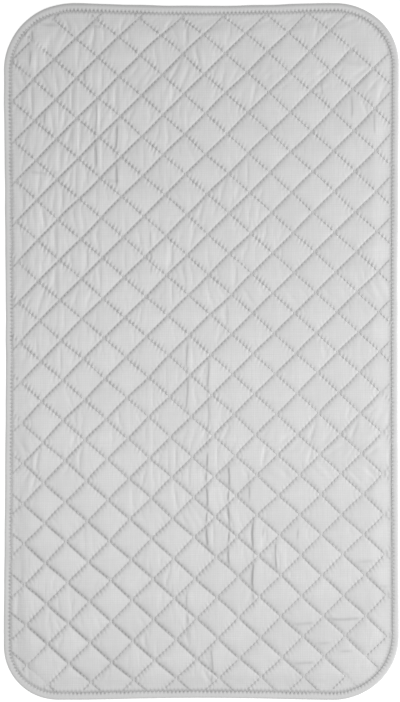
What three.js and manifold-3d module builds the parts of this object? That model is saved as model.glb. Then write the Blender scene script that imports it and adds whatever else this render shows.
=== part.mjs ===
// Quilted ironing pad: a silver-coated cotton face puffed into diamonds over wadding, a plain cotton
// backing, a folded binding tape round the edge and a disc magnet in each corner.
// Millimetres. X runs across the pad, +Y to its rear end and +Z up from the table it lies on.

import * as THREE from 'three';
import { mergeVertices } from 'three/addons/utils/BufferGeometryUtils.js';
import Module from 'manifold-3d';

// Outline
const padWidth = 480;
const padLength = 850;
const cornerRadiusFrontLeft = 66;
const cornerRadiusFrontRight = 79;
const cornerRadiusRearRight = 76;
const cornerRadiusRearLeft = 80;
const cornerSteps = 8;
const sideSteps = 8;

// How far the sewn edge is drawn in at the middle of each side
const drawInLeft = 2.4;
const drawInRight = 1.2;
const drawInFront = 2;
const drawInRear = 4.5;

// Layers, from the table up
const backingThickness = 0.4;
const waddingThickness = 2;
const faceThickness = 0.5;
const crownHeight = 2.5;
const layerGap = 0.3;

// Binding tape, folded round the edge of the layers
const tapeThickness = 0.5;
const tapeLap = 8;
const foldDepth = 2;
const foldSteps = 4;
const rimPinch = 0.2;
const rampWidth = 3;
const edgeTaper = 14;

// Quilting: diamonds sewn as zigzag rows, a little off the line of the pad
const diamondWidth = 51.7;
const diamondLength = 48.9;
const quiltTilt = THREE.MathUtils.degToRad(1.6);
const quiltOrigin = new THREE.Vector2(13.9, -4.2);
const turnGap = 4;

// Sewing thread
const threadWidth = 0.8;
const threadHeight = 0.4;
const bindingSeamInset = 6.5;

// Corner magnets, as thick as the wadding that they are let into
const magnetDiameter = 20;
const magnetInsetSide = 50;
const magnetInsetEnd = 40;
const magnetSides = 24;

// Levels worked out from the layers
const halfWidth = padWidth / 2;
const halfLength = padLength / 2;
const rimLift = tapeThickness + layerGap;
const waddingBottom = backingThickness + layerGap;
const waddingTop = waddingBottom + waddingThickness;
const faceBottom = waddingTop + layerGap;
const seamLevel = faceBottom + faceThickness;
const rimLevel = seamLevel - rimPinch;
const lapBottom = rimLevel + layerGap;
const lapTop = lapBottom + tapeThickness;
const layerInset = foldDepth + layerGap;
const fieldInset = tapeLap + layerGap;
const flatInset = fieldInset + rampWidth;

const wasm = await Module();
wasm.setup();

/** Points of the pad's outline, anticlockwise from the front right, a given distance in from its edge. */
function outline(inset) {
  const corners = [
    { x: 1, y: -1, radius: cornerRadiusFrontRight, start: -Math.PI / 2 },
    { x: 1, y: 1, radius: cornerRadiusRearRight, start: 0 },
    { x: -1, y: 1, radius: cornerRadiusRearLeft, start: Math.PI / 2 },
    { x: -1, y: -1, radius: cornerRadiusFrontLeft, start: Math.PI },
  ];
  const arcs = corners.map(({ x, y, radius, start }) => {
    const centre = new THREE.Vector2(x * (halfWidth - radius), y * (halfLength - radius));
    const arc = new THREE.EllipseCurve(
      centre.x, centre.y, radius - inset, radius - inset, start, start + Math.PI / 2,
    );
    return arc.getPoints(cornerSteps);
  });
  return arcs.flatMap((arc, i) => {
    const from = arc.at(-1);
    const to = arcs[(i + 1) % arcs.length][0];
    const side = Array.from({ length: sideSteps - 1 }, (_, k) => from.clone().lerp(to, (k + 1) / sideSteps));
    return [...arc, ...side];
  });
}

/** One level ring of the outline. */
function ring(inset, z) {
  return outline(inset).map((p) => new THREE.Vector3(p.x, p.y, z));
}

/** A closed solid over rings that follow each other: capped at both ends, or joined end to end. */
function loft(rings, endless = false) {
  const count = rings[0].length;
  const index = [];
  const bands = endless ? rings.length : rings.length - 1;
  for (let band = 0; band < bands; band += 1) {
    const a = band * count;
    const b = ((band + 1) % rings.length) * count;
    for (let i = 0; i < count; i += 1) {
      const next = (i + 1) % count;
      index.push(a + i, a + next, b + next, a + i, b + next, b + i);
    }
  }
  if (!endless) {
    const top = (rings.length - 1) * count;
    for (const [a, b, c] of THREE.ShapeUtils.triangulateShape(rings[0], [])) {
      index.push(a, c, b);
    }
    for (const [a, b, c] of THREE.ShapeUtils.triangulateShape(rings.at(-1), [])) {
      index.push(top + a, top + b, top + c);
    }
  }
  const geometry = new THREE.BufferGeometry().setFromPoints(rings.flat());
  geometry.setIndex(index);
  return geometry;
}

/** The solid of a closed geometry, for joins and cuts. */
function solidOf(geometry) {
  const bare = geometry.clone();
  bare.deleteAttribute('normal');
  bare.deleteAttribute('uv');
  const merged = mergeVertices(bare, 1e-4);
  return new wasm.Manifold(new wasm.Mesh({
    numProp: 3,
    vertProperties: merged.attributes.position.array,
    triVerts: new Uint32Array(merged.index.array),
  }));
}

/** The geometry of a solid. */
function geometryOf(solid) {
  const mesh = solid.getMesh();
  const geometry = new THREE.BufferGeometry();
  geometry.setAttribute('position', new THREE.BufferAttribute(mesh.vertProperties, 3));
  geometry.setIndex(new THREE.BufferAttribute(mesh.triVerts, 1));
  return geometry;
}

/** Where a point of the cut cloth lies once sewing has drawn the sides in. */
function drawnPoint(x, y) {
  const widest = Math.max(cornerRadiusFrontLeft, cornerRadiusFrontRight, cornerRadiusRearLeft,
    cornerRadiusRearRight);
  const alongWidth = Math.max(0, 1 - (x / (halfWidth - widest)) ** 2);
  const alongLength = Math.max(0, 1 - (y / (halfLength - widest)) ** 2);
  const sideways = x < 0 ? drawInLeft : drawInRight;
  const endways = y < 0 ? drawInFront : drawInRear;
  return new THREE.Vector2(
    x * (1 - (sideways / halfWidth) * alongLength),
    y * (1 - (endways / halfLength) * alongWidth),
  );
}

/** A geometry with its sides drawn in. */
function drawn(geometry) {
  const position = geometry.attributes.position;
  for (let i = 0; i < position.count; i += 1) {
    const moved = drawnPoint(position.getX(i), position.getY(i));
    position.setXY(i, moved.x, moved.y);
  }
  return geometry;
}

/** A point of the quilting's own axes, on the pad. */
function quiltPoint(x, y) {
  return new THREE.Vector2(x, y).rotateAround(new THREE.Vector2(), quiltTilt).add(quiltOrigin);
}

/** A sheet of diamonds larger than the pad: seams level, each diamond rising to a crown. */
function quiltSheet() {
  const reach = Math.ceil((padWidth / diamondWidth + padLength / diamondLength) / 2) + 2;
  const across = 2 * reach + 1;
  const points = [];
  const index = [];
  const place = (i, j, z) => {
    const p = quiltPoint((i + j) * diamondWidth / 2, (i - j) * diamondLength / 2);
    points.push(new THREE.Vector3(p.x, p.y, z));
    return points.length - 1;
  };
  for (const z of [seamLevel, -crownHeight]) {
    for (let i = -reach; i <= reach; i += 1) {
      for (let j = -reach; j <= reach; j += 1) {
        place(i, j, z);
      }
    }
  }
  const seam = (i, j) => (i + reach) * across + j + reach;
  const under = (i, j) => seam(i, j) + across * across;
  for (let i = -reach; i < reach; i += 1) {
    for (let j = -reach; j < reach; j += 1) {
      const crown = place(i + 0.5, j + 0.5, seamLevel + crownHeight);
      const rim = [seam(i, j), seam(i, j + 1), seam(i + 1, j + 1), seam(i + 1, j)];
      rim.forEach((from, k) => index.push(from, rim[(k + 1) % 4], crown));
      index.push(under(i, j), under(i + 1, j), under(i + 1, j + 1));
      index.push(under(i, j), under(i + 1, j + 1), under(i, j + 1));
    }
  }
  for (let k = -reach; k < reach; k += 1) {
    const edges = [
      [[k, -reach], [k + 1, -reach]],
      [[k + 1, reach], [k, reach]],
      [[-reach, k + 1], [-reach, k]],
      [[reach, k], [reach, k + 1]],
    ];
    for (const [from, to] of edges) {
      index.push(seam(...from), seam(...to), under(...to));
      index.push(seam(...from), under(...to), under(...from));
    }
  }
  const geometry = new THREE.BufferGeometry().setFromPoints(points);
  geometry.setIndex(index);
  return geometry;
}

/** The face: the diamonds trimmed to the pad and pressed down to a flat rim under the binding. */
function faceGeometry() {
  const envelope = loft([
    ring(layerInset, faceBottom),
    ring(layerInset, rimLevel),
    ring(fieldInset, rimLevel),
    ring(fieldInset + edgeTaper, seamLevel + crownHeight + layerGap),
  ]);
  return drawn(geometryOf(solidOf(quiltSheet()).intersect(solidOf(envelope))));
}

/** The four magnets' names and places on the drawn-in pad. */
function magnetPlaces() {
  const places = [];
  for (const [end, y] of [['front', -1], ['rear', 1]]) {
    for (const [side, x] of [['left', -1], ['right', 1]]) {
      const centre = new THREE.Vector2(
        x * (halfWidth - magnetInsetSide),
        y * (halfLength - magnetInsetEnd),
      );
      places.push({ name: `magnet_${end}_${side}`, centre: drawnPoint(centre.x, centre.y) });
    }
  }
  return places;
}

/** An upright disc between two levels. */
function disc(diameter, bottom, top) {
  const geometry = new THREE.CylinderGeometry(diameter / 2, diameter / 2, top - bottom, magnetSides);
  geometry.rotateX(Math.PI / 2);
  geometry.translate(0, 0, (bottom + top) / 2);
  return geometry;
}

/** The wadding: a slab squeezed thinner at the bound rim, with a hole for each magnet. */
function waddingGeometry() {
  const slab = loft([
    ring(flatInset, waddingBottom),
    ring(fieldInset, waddingBottom + rimLift),
    ring(layerInset, waddingBottom + rimLift),
    ring(layerInset, waddingTop),
  ]);
  const holes = magnetPlaces().map(({ centre }) => {
    const hole = disc(magnetDiameter + 2 * layerGap, waddingBottom - layerGap, waddingTop + layerGap);
    hole.translate(centre.x, centre.y, 0);
    return solidOf(hole);
  });
  return geometryOf(solidOf(drawn(slab)).subtract(wasm.Manifold.union(holes)));
}

/** The backing: a flat cloth that steps up over the binding's lower lap. */
function backingGeometry() {
  return drawn(loft([
    ring(flatInset, 0),
    ring(fieldInset, rimLift),
    ring(layerInset, rimLift),
    ring(layerInset, rimLift + backingThickness),
    ring(fieldInset, rimLift + backingThickness),
    ring(flatInset, backingThickness),
  ]));
}

/** The binding: a tape folded round the edge, from its lower lap over a round fold to its upper lap. */
function bindingGeometry() {
  const fold = (depth, low, high) => Array.from({ length: foldSteps + 1 }, (_, k) => {
    const angle = Math.PI * (k / foldSteps);
    return ring(
      foldDepth - depth * Math.sin(angle),
      (low + high) / 2 - (high - low) / 2 * Math.cos(angle),
    );
  });
  return drawn(loft([
    ring(tapeLap, 0),
    ...fold(foldDepth, 0, lapTop),
    ring(tapeLap, lapTop),
    ring(tapeLap, lapBottom),
    ...fold(foldDepth - tapeThickness, tapeThickness, lapBottom).reverse(),
    ring(tapeLap, tapeThickness),
  ], true));
}

/** The binding's seam: one thread right round the upper lap. */
function bindingThreadGeometry() {
  const bottom = lapTop + layerGap;
  const inner = bindingSeamInset + threadWidth / 2;
  const outer = bindingSeamInset - threadWidth / 2;
  return drawn(loft([
    ring(inner, bottom),
    ring(outer, bottom),
    ring(outer, bottom + threadHeight),
    ring(inner, bottom + threadHeight),
  ], true));
}

/** The line of one zigzag row, with its turns short of the diamonds' corners, so that no rows cross. */
function zigzagTurns(row, sideways) {
  const reach = Math.ceil(padLength / diamondLength) + 1;
  return Array.from({ length: 2 * reach + 1 }, (_, k) => {
    const step = k - reach;
    const atLeft = (row + step) % 2 === 0;
    const x = atLeft ? row * diamondWidth / 2 + turnGap / 2 : (row + 1) * diamondWidth / 2 - turnGap / 2;
    return quiltPoint(x + sideways, step * diamondLength / 2);
  });
}

/** The needle threads of the quilting: each zigzag row that crosses most of the field, in its valleys. */
function quiltThreadGeometries() {
  const run = diamondWidth / 2 - turnGap;
  const rise = diamondLength / 2;
  const halfThread = threadWidth / 2 * Math.hypot(run, rise) / rise;
  const valleyRise = crownHeight * (turnGap / 2 + halfThread) / (diamondWidth / 2);
  const bottom = seamLevel + valleyRise + layerGap;
  const field = solidOf(loft([
    ring(fieldInset + layerGap, 0),
    ring(fieldInset + layerGap, bottom + 2 * threadHeight),
  ]));
  const lastRow = Math.ceil(padWidth / diamondWidth) + 1;
  const threads = [];
  for (let row = -lastRow; row <= lastRow; row += 1) {
    const ribbon = new THREE.Shape([
      ...zigzagTurns(row, halfThread),
      ...zigzagTurns(row, -halfThread).reverse(),
    ]);
    const strip = new THREE.ExtrudeGeometry(ribbon, { depth: threadHeight, bevelEnabled: false });
    strip.translate(0, 0, bottom);
    const runs = solidOf(strip).intersect(field).decompose();
    runs.sort((a, b) => b.volume() - a.volume());
    if (runs.length > 0 && runs[0].boundingBox().max[1] - runs[0].boundingBox().min[1] > halfLength) {
      threads.push(drawn(geometryOf(runs[0])));
    }
  }
  return threads;
}

const finishes = {
  face: { color: '#c9c9c9', roughness: 0.6, metalness: 0.15 },
  binding: { color: '#c4c4c4', roughness: 0.75, metalness: 0 },
  thread: { color: '#a6a6a6', roughness: 0.7, metalness: 0 },
  wadding: { color: '#ecebe6', roughness: 1, metalness: 0 },
  backing: { color: '#b4b3af', roughness: 0.9, metalness: 0 },
  magnet: { color: '#4a4a4c', roughness: 0.5, metalness: 0.6 },
};

/** A named piece with a material of its own. */
function piece(name, geometry, finish) {
  const mesh = new THREE.Mesh(geometry, new THREE.MeshStandardMaterial(finish));
  mesh.name = name;
  return mesh;
}

/** The pad as a group of named pieces. */
function ironingPad() {
  const pad = new THREE.Group();
  pad.name = 'ironing_pad';
  pad.add(
    piece('backing', backingGeometry(), finishes.backing),
    piece('wadding', waddingGeometry(), finishes.wadding),
    piece('quilted_face', faceGeometry(), finishes.face),
    piece('edge_binding', bindingGeometry(), finishes.binding),
    piece('binding_thread', bindingThreadGeometry(), finishes.thread),
  );
  quiltThreadGeometries().forEach((geometry, i) => {
    pad.add(piece(`quilt_thread_${String(i + 1).padStart(2, '0')}`, geometry, finishes.thread));
  });
  for (const { name, centre } of magnetPlaces()) {
    const magnet = piece(name, disc(magnetDiameter, waddingBottom, waddingTop), finishes.magnet);
    magnet.position.set(centre.x, centre.y, 0);
    pad.add(magnet);
  }
  return pad;
}

export default ironingPad();
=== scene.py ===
"""Looks of a quilted ironing pad: silver-coated cotton sewn in zigzag rows over wadding, with a bound edge.

Sizes are in millimetres until a mesh is finished. X runs across the pad, +Y to its rear end and +Z up.
"""

import logging
import math
from dataclasses import dataclass
from enum import Enum

import bmesh
import bpy
import numpy as np
from mathutils import Matrix, Vector
from mathutils.bvhtree import BVHTree
from numpy.lib.stride_tricks import sliding_window_view


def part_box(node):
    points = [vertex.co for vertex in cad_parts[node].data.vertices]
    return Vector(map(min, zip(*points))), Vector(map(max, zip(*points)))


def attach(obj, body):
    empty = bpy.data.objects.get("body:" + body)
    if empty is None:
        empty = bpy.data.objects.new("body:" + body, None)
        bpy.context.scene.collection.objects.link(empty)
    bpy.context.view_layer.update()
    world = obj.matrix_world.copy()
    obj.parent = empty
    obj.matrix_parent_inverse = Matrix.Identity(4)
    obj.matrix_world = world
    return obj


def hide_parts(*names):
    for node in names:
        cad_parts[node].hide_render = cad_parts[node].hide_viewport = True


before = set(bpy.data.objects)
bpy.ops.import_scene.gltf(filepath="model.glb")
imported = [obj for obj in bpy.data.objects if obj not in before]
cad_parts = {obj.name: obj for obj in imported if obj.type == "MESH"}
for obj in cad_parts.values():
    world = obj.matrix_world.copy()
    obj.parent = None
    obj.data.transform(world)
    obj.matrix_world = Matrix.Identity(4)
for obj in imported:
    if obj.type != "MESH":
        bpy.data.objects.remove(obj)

LOG = logging.getLogger("ironing_pad")
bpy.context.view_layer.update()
BODY = "root"
MM = 0.001
# Share of painted shade at each point: a darker colour laid where seams, creases and the tape's gathers
# fall in shadow.
PAINTED_SHADE_SHARE = "painted_shade_share"
# A wave texture of scale 1 turns through this many radians in each metre.
WAVE_TURN = 20.0
# Lengths are kept above this before something is divided by them.
TINY = 1e-6


class Bed(Enum):
    """The two sides of the pad that a quilting stitch shows on."""

    FACE = "face"
    UNDERSIDE = "underside"


def linear(colour: str) -> tuple[float, float, float, float]:
    """Turn an sRGB hex colour into linear values for a shader.

    Args:
        colour: Six hex digits after a hash sign.

    Returns:
        Red, green, blue and an alpha of 1.
    """
    parts = [int(colour[i : i + 2], 16) / 255 for i in (1, 3, 5)]
    red, green, blue = (p / 12.92 if p <= 0.04045 else ((p + 0.055) / 1.055) ** 2.4 for p in parts)
    return red, green, blue, 1.0


def add_node(
    tree: bpy.types.NodeTree, kind: str, settings: dict | None = None, links: dict | None = None
) -> bpy.types.Node:
    """Add one shader node.

    Args:
        tree: The node tree that gets it.
        kind: The node's type name.
        settings: Values by socket name or number, or by property name.
        links: Output sockets by the name or number of the input that each feeds.

    Returns:
        The new node.
    """
    node = tree.nodes.new(kind)
    for key, value in (settings or {}).items():
        if isinstance(key, str) and hasattr(node, key):
            setattr(node, key, value)
        else:
            node.inputs[key].default_value = value
    for key, socket in (links or {}).items():
        tree.links.new(socket, node.inputs[key])
    return node


def start_material(
    name: str, roughness: float
) -> tuple[bpy.types.Material, bpy.types.Node, bpy.types.NodeSocket]:
    """Start a material whose patterns keep their place on the piece.

    Args:
        name: The real material's name.
        roughness: How matt it is.

    Returns:
        The material, its shader and the socket that gives a point's place.
    """
    material = bpy.data.materials.new(name)
    material.use_nodes = True
    shader = material.node_tree.nodes["Principled BSDF"]
    shader.inputs["Roughness"].default_value = roughness
    return material, shader, add_node(material.node_tree, "ShaderNodeTexCoord").outputs["Object"]


def smooth_step(t: np.ndarray) -> np.ndarray:
    """Ease from 0 to 1 as t goes from 0 to 1."""
    t = np.clip(t, 0.0, 1.0)
    return t * t * (3 - 2 * t)


def read_table(
    table: np.ndarray, i: np.ndarray, j: np.ndarray, u: np.ndarray, v: np.ndarray
) -> np.ndarray:
    """Read a table of heights between its entries, going round past its ends.

    Args:
        table: The heights.
        i: First numbers of the entries.
        j: Second numbers of the entries.
        u: How far each point is towards the next first number, from 0 to 1.
        v: How far it is towards the next second number, from 0 to 1.

    Returns:
        A height for each point.
    """
    next_i, next_j = (i + 1) % table.shape[0], (j + 1) % table.shape[1]
    near = table[i, j] * (1 - u) + table[next_i, j] * u
    far = table[i, next_j] * (1 - u) + table[next_i, next_j] * u
    return near * (1 - v) + far * v


def wander(x: np.ndarray, y: np.ndarray, seed: int) -> np.ndarray:
    """Smooth random heights from -1 to 1 with a grain of one unit.

    Args:
        x: First coordinate, in grains.
        y: Second coordinate, in grains.
        seed: Which surface of heights it is.

    Returns:
        A height for each point.
    """
    grains = 128
    table = np.random.default_rng(seed).uniform(-1, 1, (grains, grains))
    i, j = np.floor(x).astype(int), np.floor(y).astype(int)
    return read_table(table, i % grains, j % grains, smooth_step(x - i), smooth_step(y - j))


def coordinates(bm: bmesh.types.BMesh) -> np.ndarray:
    """The mesh's points as rows of x, y and z."""
    return np.array([v.co[:] for v in bm.verts])


def move_to(bm: bmesh.types.BMesh, points: np.ndarray) -> None:
    """Move the mesh's points to new places."""
    for vertex, point in zip(bm.verts, points):
        vertex.co = point


def finish_piece(
    name: str, bm: bmesh.types.BMesh, material: bpy.types.Material
) -> bpy.types.Object:
    """Turn a mesh in millimetres into a finished piece that rides on the pad.

    Args:
        name: The piece's name.
        bm: Its mesh, which is freed.
        material: Its finish.

    Returns:
        The new object.
    """
    bmesh.ops.recalc_face_normals(bm, faces=bm.faces)
    bmesh.ops.scale(bm, vec=(MM, MM, MM), verts=bm.verts)
    mesh = bpy.data.meshes.new(name)
    bm.to_mesh(mesh)
    bm.free()
    mesh.materials.append(material)
    mesh.shade_smooth()
    piece = bpy.data.objects.new(name, mesh)
    bpy.context.scene.collection.objects.link(piece)
    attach(piece, BODY)
    LOG.info("%s: %d faces", name, len(mesh.polygons))
    return piece


@dataclass(frozen=True)
class Cloth:
    """A woven cloth: warp and weft show as fine ribs, and the colour is faintly cloudy.

    The thread spacing is drawn coarser than the real 0.4 mm, because that is too fine to show. A darker
    colour is painted along seams, creases and the tape's edge as painted shade, where those grooves and
    folds fall in shadow.
    """

    name: str
    colour: str
    shade: str
    roughness: float
    thread_mm: float
    rib: float
    metallic: float = 0.0
    sheen: float = 0.0
    # Thick places in the yarn, the ribs' depth and waver, the clouds and the colour of the painted shade.
    slub: float = 0.5
    slub_mm: float = 1.5
    slub_run_mm: float = 26.0
    rib_mm: float = 0.4
    waver: float = 1.2
    waver_grain: float = 0.6
    cloud_mm: float = 45.0
    painted_shade: str = ""

    def build(self) -> bpy.types.Material:
        """Make the cloth's material.

        Returns:
            The new material.
        """
        material, shader, place = start_material(self.name, self.roughness)
        tree = material.node_tree
        shader.inputs["Metallic"].default_value = self.metallic
        shader.inputs["Sheen Weight"].default_value = self.sheen
        bands = 2 * math.pi / WAVE_TURN / (self.thread_mm * MM)
        thick, long = 1 / (self.slub_mm * MM), 1 / (self.slub_run_mm * MM)
        yarns = []
        for direction, grain in (("X", (thick, long, thick)), ("Y", (long, thick, thick))):
            ribs = add_node(
                tree,
                "ShaderNodeTexWave",
                {
                    "bands_direction": direction,
                    "Scale": bands,
                    "Distortion": self.waver,
                    "Detail Scale": self.waver_grain,
                },
                {"Vector": place},
            )
            stretched = add_node(tree, "ShaderNodeMapping", {"Scale": grain}, {"Vector": place})
            slubs = add_node(
                tree, "ShaderNodeTexNoise", {"Scale": 1.0, "Detail": 2.0}, {"Vector": stretched.outputs[0]}
            )
            yarn = add_node(
                tree,
                "ShaderNodeMath",
                {"operation": "MULTIPLY_ADD", 1: 1 - self.slub},
                {0: ribs.outputs["Fac"], 2: slubs.outputs["Fac"]},
            )
            yarns.append(yarn.outputs[0])
        weave = add_node(tree, "ShaderNodeMath", {"operation": "MULTIPLY"}, {0: yarns[0], 1: yarns[1]})
        clouds = add_node(
            tree,
            "ShaderNodeTexNoise",
            {"Scale": 1 / (self.cloud_mm * MM), "Detail": 5.0},
            {"Vector": place},
        )
        worn = add_node(
            tree,
            "ShaderNodeMath",
            {"operation": "MULTIPLY", "use_clamp": True},
            {0: clouds.outputs["Fac"], 1: weave.outputs[0]},
        )
        tint = add_node(
            tree,
            "ShaderNodeMix",
            {"data_type": "RGBA", 6: linear(self.shade), 7: linear(self.colour)},
            {0: worn.outputs[0]},
        )
        # Painted shade: the stored share mixes in a darker colour where grooves and folds fall in shadow.
        if self.painted_shade:
            seams = add_node(tree, "ShaderNodeAttribute", {"attribute_name": PAINTED_SHADE_SHARE})
            tint = add_node(
                tree,
                "ShaderNodeMix",
                {"data_type": "RGBA", 7: linear(self.painted_shade)},
                {0: seams.outputs["Fac"], 6: tint.outputs[2]},
            )
        tree.links.new(tint.outputs[2], shader.inputs["Base Color"])
        bump = add_node(
            tree,
            "ShaderNodeBump",
            {"Strength": self.rib, "Distance": self.rib_mm * MM},
            {"Height": weave.outputs[0]},
        )
        tree.links.new(bump.outputs["Normal"], shader.inputs["Normal"])
        return material


@dataclass(frozen=True)
class SpunThread:
    """Spun polyester thread: matt, with its twist showing as slanting light and dark."""

    name: str = "spun_polyester_thread"
    colour: str = "#cfcfcf"
    shade: str = "#b0b0b0"
    twist_mm: float = 1.2
    roughness: float = 0.7

    def build(self) -> bpy.types.Material:
        """Make the thread's material.

        Returns:
            The new material.
        """
        material, shader, place = start_material(self.name, self.roughness)
        tree = material.node_tree
        twist = add_node(
            tree,
            "ShaderNodeTexWave",
            {"bands_direction": "DIAGONAL", "Scale": 2 * math.pi / WAVE_TURN / (self.twist_mm * MM)},
            {"Vector": place},
        )
        tint = add_node(
            tree,
            "ShaderNodeMix",
            {"data_type": "RGBA", 6: linear(self.shade), 7: linear(self.colour)},
            {0: twist.outputs["Fac"]},
        )
        tree.links.new(tint.outputs[2], shader.inputs["Base Color"])
        return material


@dataclass(frozen=True)
class Ferrite:
    """Sintered ferrite: a dark grey ceramic with a dull, faintly pitted skin."""

    name: str = "sintered_ferrite"
    colour: str = "#4a4a4c"
    shade: str = "#2f2f31"
    grit_mm: float = 0.8
    pit_mm: float = 0.1
    pit: float = 0.2
    roughness: float = 0.55

    def build(self) -> bpy.types.Material:
        """Make the magnets' material.

        Returns:
            The new material.
        """
        material, shader, place = start_material(self.name, self.roughness)
        tree = material.node_tree
        grit = add_node(
            tree, "ShaderNodeTexNoise", {"Scale": 1 / (self.grit_mm * MM), "Detail": 3.0}, {"Vector": place}
        )
        tint = add_node(
            tree,
            "ShaderNodeMix",
            {"data_type": "RGBA", 6: linear(self.shade), 7: linear(self.colour)},
            {0: grit.outputs["Fac"]},
        )
        tree.links.new(tint.outputs[2], shader.inputs["Base Color"])
        bump = add_node(
            tree,
            "ShaderNodeBump",
            {"Strength": self.pit, "Distance": self.pit_mm * MM},
            {"Height": grit.outputs["Fac"]},
        )
        tree.links.new(bump.outputs["Normal"], shader.inputs["Normal"])
        return material


@dataclass(frozen=True)
class Outline:
    """The pad's rounded outline, and how sewing draws its sides in."""

    width: float
    length: float
    front_left: float = 66.0
    front_right: float = 79.0
    rear_right: float = 76.0
    rear_left: float = 84.0
    draw_left: float = 2.4
    draw_right: float = 1.2
    draw_front: float = 2.4
    draw_rear: float = 3.3
    draw_reach: float = 60.0
    trim_right: float = -1.0
    trim_front: float = 0.4
    trim_rear: float = 1.6
    rear_lap: float = 0.28
    front_lap: float = 0.14
    draw_power: float = 1.5
    arc_steps: int = 48

    def corner(self, x: np.ndarray, y: np.ndarray) -> tuple[np.ndarray, np.ndarray, np.ndarray]:
        """Find the corner that each point is nearest to.

        Args:
            x: Points across the pad.
            y: Points along the pad.

        Returns:
            The corner's radius, and the x and y of its centre.
        """
        front = np.where(x < 0, self.front_left, self.front_right)
        rear = np.where(x < 0, self.rear_left, self.rear_right)
        radius = np.where(y < 0, front, rear)
        centre_x = np.where(x < 0, -1, 1) * (self.width / 2 - radius)
        centre_y = np.where(y < 0, -1, 1) * (self.length / 2 - radius)
        return radius, centre_x, centre_y

    def beyond(self, x: np.ndarray, y: np.ndarray) -> tuple[np.ndarray, np.ndarray, np.ndarray]:
        """How far each point lies beyond the centre of its nearest corner.

        Args:
            x: Points across the pad.
            y: Points along the pad.

        Returns:
            The corner's radius, and the distances beyond its centre across and along the pad.
        """
        radius, centre_x, centre_y = self.corner(x, y)
        return radius, np.abs(x) - np.abs(centre_x), np.abs(y) - np.abs(centre_y)

    def inset(self, x: np.ndarray, y: np.ndarray) -> np.ndarray:
        """How far each point of the cut cloth lies in from its edge.

        Args:
            x: Points across the pad.
            y: Points along the pad.

        Returns:
            The distance, negative outside.
        """
        radius, beyond_x, beyond_y = self.beyond(x, y)
        reach = np.hypot(np.maximum(beyond_x, 0), np.maximum(beyond_y, 0))
        return radius - reach - np.minimum(np.maximum(beyond_x, beyond_y), 0)

    def to_edge(self, x: np.ndarray, y: np.ndarray, inset: float) -> tuple[np.ndarray, np.ndarray]:
        """Push points in the corners out or in to the line at one inset.

        Args:
            x: Points across the pad.
            y: Points along the pad.
            inset: The line's distance from the edge.

        Returns:
            The new x and y. Points on the straight sides stay.
        """
        radius, centre_x, centre_y = self.corner(x, y)
        out_x, out_y = x - centre_x, y - centre_y
        reach = np.maximum(np.hypot(out_x, out_y), TINY)
        round_part = (np.abs(x) > np.abs(centre_x)) & (np.abs(y) > np.abs(centre_y))
        stretch = np.where(round_part, (radius - inset) / reach, 1.0)
        return centre_x + out_x * stretch, centre_y + out_y * stretch

    def drawn(self, x: np.ndarray, y: np.ndarray) -> tuple[np.ndarray, np.ndarray]:
        """Move points of the cut cloth to where they lie once the sides are drawn in.

        Only cloth near an edge moves.

        Args:
            x: Points across the pad.
            y: Points along the pad.

        Returns:
            The new x and y.
        """
        largest = max(self.front_left, self.front_right, self.rear_left, self.rear_right)
        half_width, half_length = self.width / 2, self.length / 2
        along_x = np.maximum(0, 1 - (x / (half_width - largest)) ** 2) ** self.draw_power
        along_y = np.maximum(0, 1 - (y / (half_length - largest)) ** 2) ** self.draw_power
        sideways = np.where(x < 0, self.draw_left * along_y, self.draw_right * along_y + self.trim_right)
        front, rear = self.draw_front * along_x + self.trim_front, self.draw_rear * along_x + self.trim_rear
        endways = np.where(y < 0, front, rear)
        near_side = smooth_step(1 - (half_width - np.abs(x)) / self.draw_reach)
        near_end = smooth_step(1 - (half_length - np.abs(y)) / self.draw_reach)
        return x - np.sign(x) * sideways * near_side, y - np.sign(y) * endways * near_end

    def tape_share(self, end: np.ndarray) -> np.ndarray:
        """How much wider the tape laps at the pad's ends than at its sides.

        Args:
            end: How far the edge faces the rear, from -1 to 1.

        Returns:
            The tape's width as a share of its width at the sides.
        """
        return 1 + self.rear_lap * np.maximum(0, end) + self.front_lap * np.maximum(0, -end)

    def facing(self, x: np.ndarray, y: np.ndarray) -> np.ndarray:
        """How far the nearest edge faces the pad's rear.

        Args:
            x: Points across the pad.
            y: Points along the pad.

        Returns:
            From -1 at the front to 1 at the rear.
        """
        _, beyond_x, beyond_y = self.beyond(x, y)
        reach = np.maximum(np.hypot(beyond_x, beyond_y), TINY)
        straight = np.where(beyond_y > beyond_x, 1.0, 0.0)
        return np.sign(y) * np.where((beyond_x > 0) & (beyond_y > 0), beyond_y / reach, straight)

    def along_edge(self, x: np.ndarray, y: np.ndarray) -> np.ndarray:
        """How far along its own side or corner the nearest point of the edge lies.

        Args:
            x: Points across the pad.
            y: Points along the pad.

        Returns:
            The distance at each point.
        """
        radius, beyond_x, beyond_y = self.beyond(x, y)
        straight = np.where(beyond_x > beyond_y, y, x)
        return np.where((beyond_x > 0) & (beyond_y > 0), radius * np.arctan2(beyond_y, beyond_x), straight)

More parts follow.
